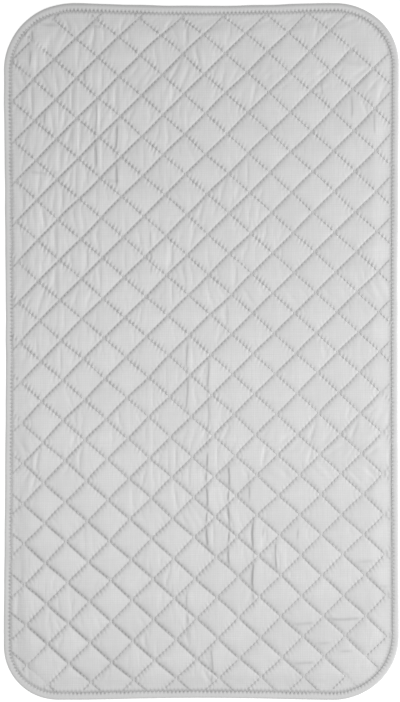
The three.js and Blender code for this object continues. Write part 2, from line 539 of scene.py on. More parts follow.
    def walk(self, share: np.ndarray) -> tuple[np.ndarray, np.ndarray, np.ndarray, np.ndarray, float]:
        """Walk anticlockwise round the edge.

        Args:
            share: How far round, from 0 to 1.

        Returns:
            The x and y there, the outward direction's x and y, and the length of the whole way round.
        """
        corners = [
            (1, -1, self.front_right, -math.pi / 2),
            (1, 1, self.rear_right, 0.0),
            (-1, 1, self.rear_left, math.pi / 2),
            (-1, -1, self.front_left, math.pi),
        ]
        rows = []
        for side, end, radius, start in corners:
            turn = start + np.linspace(0, math.pi / 2, self.arc_steps)
            out_x, out_y = np.cos(turn), np.sin(turn)
            at_x = side * (self.width / 2 - radius) + radius * out_x
            at_y = end * (self.length / 2 - radius) + radius * out_y
            rows.append(np.column_stack([at_x, at_y, out_x, out_y]))
        way = np.vstack([*rows, rows[0][:1]])
        gone = np.concatenate([[0], np.cumsum(np.hypot(*np.diff(way[:, :2], axis=0).T))])
        x, y, out_x, out_y = (np.interp(share * gone[-1], gone, column) for column in way.T)
        return x, y, out_x, out_y, float(gone[-1])


@dataclass(frozen=True)
class Crease:
    """One fold that lying rolled up has left in the face, lengthwise or, where flat is set, crosswise."""

    x: float
    y: float
    reach: float
    height: float
    flat: bool = False
    # The fold's own form.
    stand: float = 0.5
    steep: float = 1.0
    easy: float = 9.0
    fade_run: float = 10.0
    sway: float = 0.8
    sway_run: float = 9.0
    # Painted shade along the fold's steep side.
    fold_shade: float = 0.38
    fold_shade_width: float = 1.1
    flat_fold_shade: float = 0.26
    flat_fold_shade_width: float = 2.0

    def rise(self, x: np.ndarray, y: np.ndarray) -> np.ndarray:
        """Height of the fold: steep on one side, easy on the other, fading at its ends.

        Args:
            x: Points across the pad.
            y: Points along the pad.

        Returns:
            The height at each point.
        """
        across, fade = self.place(x, y)
        width = np.where(across < 0, self.steep, self.easy)
        return self.stand * self.height * fade * np.exp(-((across / width) ** 2))

    def place(self, x: np.ndarray, y: np.ndarray) -> tuple[np.ndarray, np.ndarray]:
        """Where points lie by the fold.

        Args:
            x: Points across the pad.
            y: Points along the pad.

        Returns:
            The distance from the fold, and how strong it is there.
        """
        across, along = (y - self.y, x - self.x) if self.flat else (x - self.x, y - self.y)
        fade = smooth_step((self.reach / 2 - np.abs(along)) / self.fade_run)
        return across - self.sway * np.sin(along / self.sway_run + self.x), fade

    def line(self, x: np.ndarray, y: np.ndarray) -> np.ndarray:
        """How much painted shade lies along the fold's steep side.

        Args:
            x: Points across the pad.
            y: Points along the pad.

        Returns:
            From 0, none, upwards.
        """
        across, fade = self.place(x, y)
        fold_shade, width = self.fold_shade, self.fold_shade_width
        if self.flat:
            fold_shade, width = self.flat_fold_shade, self.flat_fold_shade_width
        return fold_shade * self.height * fade * np.exp(-(((across + self.sway) / width) ** 2))


@dataclass(frozen=True)
class Quilting:
    """Diamonds sewn as zigzag rows that run lengthwise, mirror each other and never cross."""

    outline: Outline
    diamond_width: float = 51.7
    diamond_length: float = 48.9
    tilt: float = math.radians(1.6)
    origin_x: float = 12.55
    origin_y: float = -4.9
    # How the sewn lines stray from the lattice: bowed, crept at the front, one corner lifted.
    bow_x: float = 1.6
    bow_y: float = 3.0
    skew: float = 1.3
    creep: float = 0.0092
    crept: float = 0.6
    creep_from: float = 20.0
    lift: float = 3.0
    lift_width: float = 120.0
    lift_length: float = 150.0
    lift_from_x: float = 0.9
    lift_from_y: float = 1.2
    # How a row turns at a diamond's corner, and its stitches from turn to turn.
    turn_gap: float = 2.8
    turn_run: float = 2.8
    turn_sharp: float = 2.5
    run_stitches: int = 6
    # The puffed section of a diamond, and the groove along a seam.
    neck: float = 0.16
    slant: float = 0.7
    dome_power: float = 2.6
    groove_reach: float = 2.4
    groove_power: float = 1.2
    groove_share: float = 0.5
    slack_groove: float = 0.4
    # The gathers beside a slack seam, and the uneven tails that they run out in.
    hole_lean: float = 0.7
    gather_reach: float = 3.2
    gather_power: float = 1.5
    gather_grain: float = 7.0
    gather_uneven: float = 0.6
    gather_lift: float = 0.2
    gather_slack: float = 1.15
    gather_left: float = 1.1
    gather_right: float = 0.65
    tail_width: float = 5.0
    tail_length: float = 30.0
    tail_uneven: float = 0.8
    # Where the taut seams change from one slant to the other, and how easy the others are.
    turnover_y: float = -150.0
    turnover_reach: float = 110.0
    ease_right: float = 0.3
    ease_run: float = 1.2
    front_play: float = 0.6
    # Unsteady sewing.
    wobble: float = 0.9
    wobble_grain: float = 34.0
    slip_rounds: int = 4
    # Shifts in the random heights from one row and diamond to the next.
    jump_x: tuple[float, float] = (17.3, 5.1)
    jump_y: tuple[float, float] = (9.7, 31.9)

    def slip(self, x: np.ndarray, y: np.ndarray) -> tuple[np.ndarray, np.ndarray]:
        """How far the sewn lines lie from a true lattice: bowed at the sides, and unsteady all over.

        Args:
            x: Points across the pad.
            y: Points along the pad.

        Returns:
            The shift across and along the pad.
        """
        bow = (2 * x / self.outline.width) ** 2
        skew = self.skew * 2 * y / self.outline.length
        grain = self.wobble_grain
        shake_x = self.wobble * wander(x / grain, y / grain, seed=11)
        shake_y = self.wobble * wander(x / grain, y / grain, seed=12)
        right, rear = x / self.lift_width - self.lift_from_x, y / self.lift_length - self.lift_from_y
        corner = self.lift * smooth_step(right) * smooth_step(rear)
        crept = self.crept + self.creep * np.minimum(0, y + self.creep_from) + corner
        return shake_x + skew - self.bow_x * bow, shake_y + crept - self.bow_y * bow

    def to_quilt(self, x: np.ndarray, y: np.ndarray) -> tuple[np.ndarray, np.ndarray]:
        """Turn points of the pad into points of the quilting's own axes.

        Args:
            x: Points across the pad.
            y: Points along the pad.

        Returns:
            Points across and along the rows.
        """
        slip_x, slip_y = self.slip(x, y)
        across, along = x - slip_x - self.origin_x, y - slip_y - self.origin_y
        cos, sin = math.cos(self.tilt), math.sin(self.tilt)
        return across * cos + along * sin, along * cos - across * sin

    def to_pad(self, across: np.ndarray, along: np.ndarray) -> tuple[np.ndarray, np.ndarray]:
        """Turn points of the quilting's own axes into points of the pad.

        Args:
            across: Points across the rows.
            along: Points along the rows.

        Returns:
            Points across and along the pad.
        """
        cos, sin = math.cos(self.tilt), math.sin(self.tilt)
        x = across * cos - along * sin + self.origin_x
        y = across * sin + along * cos + self.origin_y
        at_x, at_y = x, y
        for _ in range(self.slip_rounds):
            slip_x, slip_y = self.slip(at_x, at_y)
            at_x, at_y = x + slip_x, y + slip_y
        return at_x, at_y

    def swing(self, row: np.ndarray, along: np.ndarray) -> np.ndarray:
        """How far a row has swung from its left turns, 0, to its right turns, 1.

        Args:
            row: Row numbers.
            along: Points along the rows.

        Returns:
            The swing at each point.
        """
        phase = np.mod(along / (self.diamond_length / 2) + row, 2)
        pause = self.turn_run / self.diamond_length
        return np.clip((1 - np.abs(1 - phase) - pause) / (1 - 2 * pause), 0, 1)

    def thread(self, row: np.ndarray, along: np.ndarray) -> np.ndarray:
        """Where a row's thread lies across the rows.

        Args:
            row: Row numbers.
            along: Points along the rows.

        Returns:
            The place of the thread at each point.
        """
        half = self.diamond_width / 2
        return row * half + self.turn_gap / 2 + self.swing(row, along) * (half - self.turn_gap)

    def between(self, across: np.ndarray, along: np.ndarray) -> tuple[np.ndarray, np.ndarray, np.ndarray]:
        """Find the two threads that each point lies between.

        Args:
            across: Points across the rows.
            along: Points along the rows.

        Returns:
            The left thread's row, and the distances to the left and the right thread.
        """
        row = np.floor(across / (self.diamond_width / 2))
        row = np.where(across >= self.thread(row, along), row, row - 1)
        return row, across - self.thread(row, along), self.thread(row + 1, along) - across

    def rightward(self, x: np.ndarray) -> np.ndarray:
        """How far right each point lies, eased from 0 to 1."""
        return smooth_step(0.5 + self.ease_run * x / self.outline.width)

    def tightness(self, x: np.ndarray, y: np.ndarray) -> np.ndarray:
        """How hard the nearest seam is drawn in, from 0, slack and gathered, to 1, taut.

        The rear part's seams are taut where they rise to the right, and the front part's where they fall,
        because the cloth crept as it was sewn. None is very slack at the front, and all are easier at the
        right.

        Args:
            x: Points across the pad.
            y: Points along the pad.

        Returns:
            The tightness at each point.
        """
        across, along = self.to_quilt(x, y)
        row, left, right = self.between(across, along)
        rise = np.sin(math.pi * (along / (self.diamond_length / 2) + row))
        rise = np.clip(self.turn_sharp * rise, -1, 1) * (right - left) / (left + right)
        lean = np.tanh((y - self.turnover_y) / self.turnover_reach)
        play = self.front_play + (1 - self.front_play) * smooth_step(0.5 + 0.5 * lean)
        taut = 1 - 0.5 * play * (1 - rise * lean)
        return taut * (1 - self.ease_right * self.rightward(x))

    def room(self, x: np.ndarray, y: np.ndarray) -> np.ndarray:
        """How wide the gap between the two nearest threads is at each point."""
        _, left, right = self.between(*self.to_quilt(x, y))
        return left + right

    def seam_distance(self, x: np.ndarray, y: np.ndarray) -> np.ndarray:
        """How far each point lies from the nearest row of stitches.

        Args:
            x: Points across the pad.
            y: Points along the pad.

        Returns:
            The distance, square to the seam.
        """
        _, left, right = self.between(*self.to_quilt(x, y))
        return self.slant * np.minimum(left, right)

    def puff(self, x: np.ndarray, y: np.ndarray) -> np.ndarray:
        """How full the padding stands, from 0 at a taut seam to 1 at the middle of a diamond.

        Args:
            x: Points across the pad.
            y: Points along the pad.

        Returns:
            The fullness at each point.
        """
        _, left, right = self.between(*self.to_quilt(x, y))
        gap = left + right
        widest = self.diamond_width - self.turn_gap
        room = smooth_step((gap - self.turn_gap) / (widest - self.turn_gap))
        dome = (self.neck + (1 - self.neck) * room) * (1 - np.abs((left - right) / gap) ** self.dome_power)
        away = self.slant * np.minimum(left, right)
        drawn = self.slack_groove + (1 - self.slack_groove) * self.tightness(x, y)
        groove = drawn * np.exp(-((away / self.groove_reach) ** self.groove_power))
        return 1 - self.groove_share * groove - (1 - self.groove_share) * (1 - dome)

    def holes(self, x: np.ndarray, y: np.ndarray) -> np.ndarray:
        """Count the needle holes along the nearest run of stitches, up to each point.

        The count grows mostly across the pad, so that the gathers between holes lie nearly lengthwise.

        Args:
            x: Points across the pad.
            y: Points along the pad.

        Returns:
            The count, whole at a needle hole.
        """
        across, along = self.to_quilt(x, y)
        row, left, right = self.between(across, along)
        row = np.where(left < right, row, row + 1)
        half = self.diamond_width / 2
        straight = np.clip((across - row * half - self.turn_gap / 2) / (half - self.turn_gap), 0, 1)
        lean = self.hole_lean
        return self.run_stitches * (lean * straight + (1 - lean) * self.swing(row, along))

    def pucker(self, x: np.ndarray, y: np.ndarray) -> np.ndarray:
        """How the stitches gather the cloth beside a seam: 1 between needle holes, -1 at them.

        Args:
            x: Points across the pad.
            y: Points along the pad.

        Returns:
            The gather at each point, strongest at a slack seam and fading away from it.
        """
        uneven = 1 + self.gather_uneven * wander(x / self.gather_grain, y / self.gather_grain, seed=15)
        tails = 1 + self.tail_uneven * wander(x / self.tail_width, y / self.tail_length, seed=16)
        reach = self.gather_reach * tails
        fade = np.exp(-((self.seam_distance(x, y) / reach) ** self.gather_power))
        draw = self.gather_lift - np.cos(2 * math.pi * self.holes(x, y))
        side = self.gather_left + (self.gather_right - self.gather_left) * self.rightward(x)
        return draw * fade * uneven * (self.gather_slack - self.tightness(x, y)) * side

    def cell_noise(
        self, x: np.ndarray, y: np.ndarray, width: float, length: float, seed: int
    ) -> np.ndarray:
        """Random heights that start afresh in each diamond.

        Args:
            x: Points across the pad.
            y: Points along the pad.
            width: Grain across the pad.
            length: Grain along the pad.
            seed: Which surface of heights it is.

        Returns:
            A height from -1 to 1 at each point.
        """
        across, along = self.to_quilt(x, y)
        row, _, _ = self.between(across, along)
        place = np.floor((along / (self.diamond_length / 2) + row + 1) / 2)
        row_x, place_x = self.jump_x
        row_y, place_y = self.jump_y
        jumped_x = x / width + row * row_x + place * place_x
        jumped_y = y / length + row * row_y + place * place_y
        return wander(jumped_x, jumped_y, seed)

    def row_numbers(self) -> np.ndarray:
        """The numbers of the rows that reach across the pad."""
        rows = math.ceil(self.outline.width / self.diamond_width) + 1
        return np.arange(-rows, rows)

    def stitches(self) -> np.ndarray:
        """The stitches of every row, from needle hole to needle hole.

        Returns:
            Rows of x and y of the first hole, then x and y of the second.
        """
        half = self.diamond_length / 2
        turns = math.ceil(self.outline.length / self.diamond_length) + 1
        pause = self.turn_run / 2
        run = np.linspace(pause, half - pause, self.run_stitches + 1)
        along = np.concatenate([turn * half + run for turn in range(-turns, turns)])
        found = []
        for row in self.row_numbers():
            x, y = self.to_pad(self.thread(np.full(len(along), row), along), along)
            found.append(np.column_stack([x[:-1], y[:-1], x[1:], y[1:]]))
        return np.vstack(found)


@dataclass(frozen=True)
class Layers:
    """Heights of the pad's layers above the table, and how the face is shaped by its quilting."""

    outline: Outline
    quilting: Quilting
    magnets: tuple[tuple[float, float], ...]
    # The face's height at a seam, and its rise to a crown, which is more at the front left.
    seam_top: float = 3.5
    crown: float = 2.35
    loft: float = 0.4
    loft_run: float = 260.0
    # The rim, under the tape and beside it.
    tape_lap: float = 8.0
    edge_flat: float = 1.8
    edge_taper: float = 24.0
    edge_pinch: float = 0.35
    edge_stitch: float = 4.8
    edge_gather: float = 0.3
    edge_gather_inset: float = 1.5
    edge_gather_reach: float = 2.0
    tuck: float = 2.0
    # The cut edge of each layer.
    layer_inset: float = 2.4
    # How far outside that edge a mesh point may lie, in squares, and still be drawn in to it.
    rim_catch: float = 0.3
    # Fine relief, the gathers at the stitches and the lowest that the face may lie.
    wrinkle: float = 0.1
    wrinkle_power: int = 6
    ripple: float = 0.4
    gather: float = 0.56
    lowest: float = 3.15
    # The underside, drawn up at the seams and under the tape.
    under_dent: float = 1.0
    dent_reach: float = 4.5
    rim_lift: float = 0.8
    rim_ramp: float = 4.0
    # The backing's thickness, the wadding's top and the gap between layers.
    backing: float = 0.3
    wadding_top: float = 2.7
    clear: float = 0.1
    # The unstitched swelling over a magnet.
    swelling: float = 15.0
    swelling_power: int = 4
    unsewn: float = 20.0
    magnet_full: float = 0.85
    # The plainest creases: x, y, length and height, the lengthwise ones first.
    creases: tuple[Crease, ...] = (
        Crease(-16.0, -31.0, 88.0, 1.0),
        Crease(9.5, -62.0, 116.0, 1.2),
        Crease(8.0, -182.0, 124.0, 1.6),
        Crease(34.5, -200.0, 130.0, 1.6),
        Crease(59.0, -165.0, 40.0, 1.0),
        Crease(64.0, -255.0, 120.0, 1.7),
        Crease(92.0, -250.0, 44.0, 1.5),
        Crease(76.0, -220.0, 20.0, 1.0),
        Crease(119.0, -222.0, 20.0, 0.8),
        Crease(-16.0, -321.0, 62.0, 1.0),
        Crease(14.0, -388.0, 60.0, 1.1),
        Crease(-127.0, 262.0, 84.0, 1.2),
        Crease(-102.0, 238.0, 82.0, 1.3),
        Crease(-140.0, 334.0, 30.0, 1.1),
        Crease(-189.0, 283.0, 26.0, 1.1),
        Crease(-205.0, 384.0, 24.0, 1.6),
        Crease(-207.0, 356.0, 26.0, 1.3),
        Crease(-223.0, 354.0, 20.0, 1.4),
        Crease(-60.0, 120.0, 60.0, 0.8),
        Crease(148.0, 321.0, 26.0, 0.8),
        Crease(184.0, 297.0, 34.0, 0.8),
        Crease(212.0, 278.0, 34.0, 0.8),
        Crease(-184.0, 399.0, 28.0, 1.4, True),
        Crease(-124.0, 396.0, 32.0, 1.3, True),
        Crease(159.0, 383.0, 28.0, 0.9, True),
        Crease(187.0, 351.0, 28.0, 0.8, True),
        Crease(-190.0, 218.0, 40.0, 1.2, True),
        Crease(-110.0, 208.0, 34.0, 0.9, True),
        Crease(175.0, -325.0, 46.0, 1.2, True),
        Crease(126.0, -331.0, 34.0, 0.9, True),
        Crease(150.0, -354.0, 24.0, 0.8, True),
        Crease(126.0, -379.0, 32.0, 1.0, True),
        Crease(177.0, -365.0, 24.0, 0.9, True),
        Crease(218.0, -285.0, 26.0, 0.8, True),
        Crease(201.0, -255.0, 26.0, 0.7, True),
    )

    def lap(self, x: np.ndarray, y: np.ndarray) -> np.ndarray:
        """How far the tape laps over the face at the edge nearest to each point."""
        return self.tape_lap * self.outline.tape_share(self.outline.facing(x, y))

    def magnet_cover(self, x: np.ndarray, y: np.ndarray) -> np.ndarray:
        """Where the face swells unstitched over a magnet: 1 on it, 0 away from it.

        Args:
            x: Points across the pad.
            y: Points along the pad.

        Returns:
            The share at each point.
        """
        cover = np.zeros_like(x)
        for magnet_x, magnet_y in self.magnets:
            reach = np.hypot(x - magnet_x, y - magnet_y) / self.swelling
            cover += np.exp(-(reach**self.swelling_power))
        return cover

    def from_seam(self, x: np.ndarray, y: np.ndarray) -> np.ndarray:
        """How far each point lies from the nearest seam, with none near over a magnet."""
        return self.quilting.seam_distance(x, y) + self.unsewn * self.magnet_cover(x, y)

    def fullness(self, x: np.ndarray, y: np.ndarray) -> np.ndarray:
        """The quilting's fullness, pressed flat at the binding and unbroken over the magnets.

        Args:
            x: Points across the pad.
            y: Points along the pad.

        Returns:
            From 0 at a seam to 1 at a crown.
        """
        full = self.quilting.puff(x, y)
        full = full + (self.magnet_full - full) * self.magnet_cover(x, y)
        rim = self.lap(x, y) + self.edge_flat
        inside = np.clip((self.outline.inset(x, y) - rim) / self.edge_taper, 0, 1)
        return full * smooth_step(inside)

    def face_top(self, x: np.ndarray, y: np.ndarray) -> np.ndarray:
        """Height of the face cloth before its slack buckles.

        Args:
            x: Points across the pad.
            y: Points along the pad.

        Returns:
            The height at each point of the cut cloth.
        """
        full = self.fullness(x, y)
        loose = np.sqrt(np.clip(full, 0, 1))
        inset = self.outline.inset(x, y) - self.lap(x, y)
        rim = smooth_step((self.tuck / 2 - inset) / self.tuck)
        fold = self.quilting.cell_noise(x, y, width=6.5, length=55.0, seed=3)
        ripple = self.quilting.cell_noise(x, y, width=3.4, length=24.0, seed=8)
        front_left = (1 - self.quilting.rightward(x)) * smooth_step(-y / self.loft_run)
        crown = self.crown * (1 + self.loft * front_left)
        heights = self.seam_top + crown * full - self.edge_pinch * rim
        valleys = (1 - np.abs(fold)) ** self.wrinkle_power
        heights += self.wrinkle * (self.ripple * ripple - valleys) * loose
        sewn = (1 - rim) * (1 - self.magnet_cover(x, y))
        heights += self.gather * self.quilting.pucker(x, y) * sewn
        drawn = np.cos(2 * math.pi * self.outline.along_edge(x, y) / self.edge_stitch)
        beside = (inset - self.edge_gather_inset) / self.edge_gather_reach
        heights -= self.edge_gather * drawn * np.exp(-(beside**2)) * (1 - rim)
        for crease in self.creases:
            heights += crease.rise(x, y) * loose
        return np.maximum(heights, self.lowest)

    def backing_under(self, x: np.ndarray, y: np.ndarray) -> np.ndarray:
        """Height of the backing's underside: flat on the table, up at the seams and under the tape.

        Args:
            x: Points across the pad.
            y: Points along the pad.

        Returns:
            The height at each point of the cut cloth.
        """
        away = self.quilting.seam_distance(x, y)
        dent = np.exp(-((away / self.dent_reach) ** 2)) * (1 - self.magnet_cover(x, y))
        rim = smooth_step((self.lap(x, y) + self.rim_ramp - self.outline.inset(x, y)) / self.rim_ramp)
        return np.maximum(self.under_dent * dent * (1 - rim), self.rim_lift * rim)

    def cut_cloth(self, step: float) -> bmesh.types.BMesh:
        """Cut one layer of cloth, flat, to the outline that the tape covers.

        Args:
            step: Size of the mesh's squares.

        Returns:
            The flat mesh.
        """
        width = self.outline.width - 2 * self.layer_inset
        length = self.outline.length - 2 * self.layer_inset
        bm = bmesh.new()
        bmesh.ops.create_grid(
            bm,
            x_segments=round(width / step),
            y_segments=round(length / step),
            size=0.5,
            matrix=Matrix.Diagonal((width, length, 1, 1)),
        )
        points = coordinates(bm)
        depth = self.outline.inset(points[:, 0], points[:, 1]) - self.layer_inset
        outside = [vertex for vertex, d in zip(bm.verts, depth) if d < -self.rim_catch * step]
        bmesh.ops.delete(bm, geom=outside, context="VERTS")
        bmesh.ops.delete(bm, geom=[e for e in bm.edges if not e.link_faces], context="EDGES")
        bmesh.ops.delete(bm, geom=[v for v in bm.verts if not v.link_faces], context="VERTS")
        points = coordinates(bm)
        rim = np.array([v.is_boundary for v in bm.verts])
        edge_x, edge_y = self.outline.to_edge(points[:, 0], points[:, 1], self.layer_inset)
        points[rim, 0], points[rim, 1] = edge_x[rim], edge_y[rim]
        move_to(bm, points)
        return bm

    def shaped(self, bm: bmesh.types.BMesh, heights: np.ndarray) -> None:
        """Give flat cloth its heights and draw its sides in.

        Args:
            bm: The cloth.
            heights: A height for each of its points.
        """
        points = coordinates(bm)
        x, y = self.outline.drawn(points[:, 0], points[:, 1])
        move_to(bm, np.column_stack([x, y, heights]))


@dataclass
class SlackCloth:
    """The face's spare cloth, left to buckle between the seams by a cloth simulation of a coarse copy.

    The copy is enlarged, because the solver's settings suit cloth that is metres wide.
    """

    layers: Layers
    # The simulated copy.
    step: float = 2.3
    enlarged: float = 0.02
    frames: int = 18
    gathered: int = 10
    spare: float = 0.028
    stiffness: float = 0.8
    pressure: float = 0.35
    ruffle: float = 0.35
    pin_reach: float = 1.5
    # How its movement is read: held to a limit, without wide swells, low at the crests.
    most: float = 1.6
    wide: float = 20.0
    back: float = 0.4
    valley: float = 1.25
    # Where the spare cloth lies: at the left, in the middle, in patches, and inside a hem.
    left: float = 0.9
    left_from: float = 0.62
    left_run: float = 1.3
    front_share: float = 0.2
    front_y: float = -120.0
    front_run: float = 260.0
    middle: float = 0.45
    middle_at: tuple[float, float] = (25.0, -200.0)
    middle_reach: tuple[float, float] = (70.0, 170.0)
    patch: float = 0.6
    patch_loss: float = 0.1
    patch_grain: tuple[float, float] = (34.0, 44.0)
    hem: float = 12.0
    hem_run: float = 14.0
    most_spare: float = 1.2

    def spare_share(self, x: np.ndarray, y: np.ndarray) -> np.ndarray:
        """How much cloth there is to spare: most at the rear left and in the middle, none at the edges.

        Args:
            x: Points across the pad.
            y: Points along the pad.

        Returns:
            The extra length across the pad, as a share.
        """
        outline = self.layers.outline
        (middle_x, middle_y), (reach_x, reach_y) = self.middle_at, self.middle_reach
        grain_x, grain_y = self.patch_grain
        rearward = smooth_step((y - self.front_y) / self.front_run)
        left = self.left - self.left * smooth_step(self.left_from + self.left_run * x / outline.width)
        left *= self.front_share + (1 - self.front_share) * rearward
        middle = np.exp(-(((x - middle_x) / reach_x) ** 2) - ((y - middle_y) / reach_y) ** 2)
        patches = self.patch * wander(x / grain_x, y / grain_y, seed=31) - self.patch_loss
        inside = smooth_step((outline.inset(x, y) - self.hem) / self.hem_run)
        some = np.clip(left + self.middle * middle + patches, 0, self.most_spare) * inside
        return self.spare * some * (1 - self.layers.magnet_cover(x, y))

    def weigh(self, copy: bpy.types.Object, name: str, weights: np.ndarray) -> str:
        """Give the copy a vertex group, in tenths.

        Args:
            copy: The simulated copy.
            name: The group's name.
            weights: A weight for each point.

        Returns:
            The group's name.
        """
        group = copy.vertex_groups.new(name=name)
        tenths = np.round(weights * 10).astype(int)
        for tenth in range(1, 11):
            group.add(np.nonzero(tenths == tenth)[0].tolist(), tenth / 10, "REPLACE")
        return group.name

    def hang(self, copy: bpy.types.Object, pins: np.ndarray) -> None:
        """Make the copy cloth: light, limp, blown up a little and held where it is sewn.

        Args:
            copy: The simulated copy.
            pins: How firmly each point is held.
        """
        cloth = copy.modifiers.new("slack", "CLOTH")
        settings = cloth.settings
        limp = {
            "vertex_group_mass": self.weigh(copy, "sewn", pins),
            "quality": 5,
            "mass": 0.1,
            "tension_stiffness": 40,
            "compression_stiffness": 40,
            "shear_stiffness": 5,
            "bending_stiffness": self.stiffness,
            "tension_damping": 1,
            "compression_damping": 1,
            "shear_damping": 1,
            "pin_stiffness": 30,
            "use_pressure": True,
            "uniform_pressure_force": self.pressure,
        }
        for name, value in limp.items():
            setattr(settings, name, value)
        settings.effector_weights.gravity = 0
        cloth.collision_settings.use_collision = False
        cloth.point_cache.frame_start = 1
        cloth.point_cache.frame_end = self.frames

    def settle(self) -> np.ndarray:
        """Run the simulation.

        Returns:
            How far each point of the copy rises, by row and column, in millimetres.
        """
        layers, outline = self.layers, self.layers.outline
        columns, rows = round(outline.width / self.step), round(outline.length / self.step)
        bm = bmesh.new()
        size = Matrix.Diagonal((outline.width, outline.length, 1, 1))
        bmesh.ops.create_grid(bm, x_segments=columns, y_segments=rows, size=0.5, matrix=size)
        points = coordinates(bm)
        x, y = points[:, 0], points[:, 1]
        full = np.clip(layers.fullness(x, y), 0, 1)
        ruffle = layers.quilting.cell_noise(x, y, width=7.0, length=30.0, seed=4)
        start = self.ruffle * ruffle * np.sqrt(full) + layers.crown * full
        points = np.column_stack([x, y, start]) * self.enlarged
        order = np.lexsort((x.round(3), y.round(3)))
        extra = self.spare_share(x, y)[order].reshape(rows + 1, columns + 1) * self.step
        wide = np.empty(len(x))
        wide[order] = (extra.cumsum(axis=1) - extra.sum(axis=1, keepdims=True) / 2).ravel()
        move_to(bm, points + np.outer(wide * self.enlarged, (1, 0, 0)))
        mesh = bpy.data.meshes.new("slack_copy")
        bm.to_mesh(mesh)
        bm.free()
        copy = bpy.data.objects.new("slack_copy", mesh)
        scene = bpy.context.scene
        scene.collection.objects.link(copy)
        seams = layers.from_seam(x, y)
        edge = outline.inset(x, y) - layers.lap(x, y)
        pins = np.where(edge < self.pin_reach, 1, np.clip(self.pin_reach - seams, 0, 1))
        self.hang(copy, pins)
        copy.shape_key_add(name="cut")
        sewn = copy.shape_key_add(name="sewn")
        sewn.data.foreach_set("co", points.ravel())
        for share, frame_number in ((0.0, 1), (1.0, self.gathered)):
            sewn.value = share
            sewn.keyframe_insert("value", frame=frame_number)
        gathering = mesh.shape_keys.animation_data.action
        for frame_number in range(1, self.frames + 1):
            scene.frame_set(frame_number)
        settled = copy.evaluated_get(bpy.context.evaluated_depsgraph_get())
        places = np.empty(len(points) * 3)
        settled.data.vertices.foreach_get("co", places)
        moved = (places.reshape(-1, 3) - points) / self.enlarged
        bpy.data.objects.remove(copy)
        bpy.data.meshes.remove(mesh)
        bpy.data.actions.remove(gathering)
        scene.frame_set(1)
        LOG.info("slack cloth: buckles %.2f mm at most", np.abs(moved[:, 2]).max())
        lift = moved[order, 2].reshape(rows + 1, columns + 1)
        lift = np.clip(lift - self.slow_part(lift), -self.most, self.most)
        return np.where(lift > 0, self.back * lift, -np.abs(lift) ** self.valley)

    def slow_part(self, lift: np.ndarray) -> np.ndarray:
        """The part of the movement that is as wide as a diamond, which the quilting's form already has.

        Args:
            lift: Upward movement by row and column.

        Returns:
            Its average round each point.
        """
        around = round(self.wide / 2 / self.step)
        share = np.full(2 * around + 1, 1 / (2 * around + 1))
        for axis in (0, 1):
            lift = np.apply_along_axis(
                lambda line: np.convolve(np.pad(line, around, mode="edge"), share, "valid"), axis, lift
            )
        return lift

    def buckle(self, x: np.ndarray, y: np.ndarray) -> np.ndarray:
        """Read the simulated buckles at points of the cut cloth.

        Args:
            x: Points across the pad.
            y: Points along the pad.

        Returns:
            The height of the buckle at each point.
        """
        moved = self.settle()
        rows, columns = moved.shape[0] - 1, moved.shape[1] - 1
        column = np.clip((x / self.layers.outline.width + 0.5) * columns, 0, columns - 0.001)
        row = np.clip((y / self.layers.outline.length + 0.5) * rows, 0, rows - 0.001)
        i, j = column.astype(int), row.astype(int)
        return read_table(moved.T, i, j, column - i, row - j)


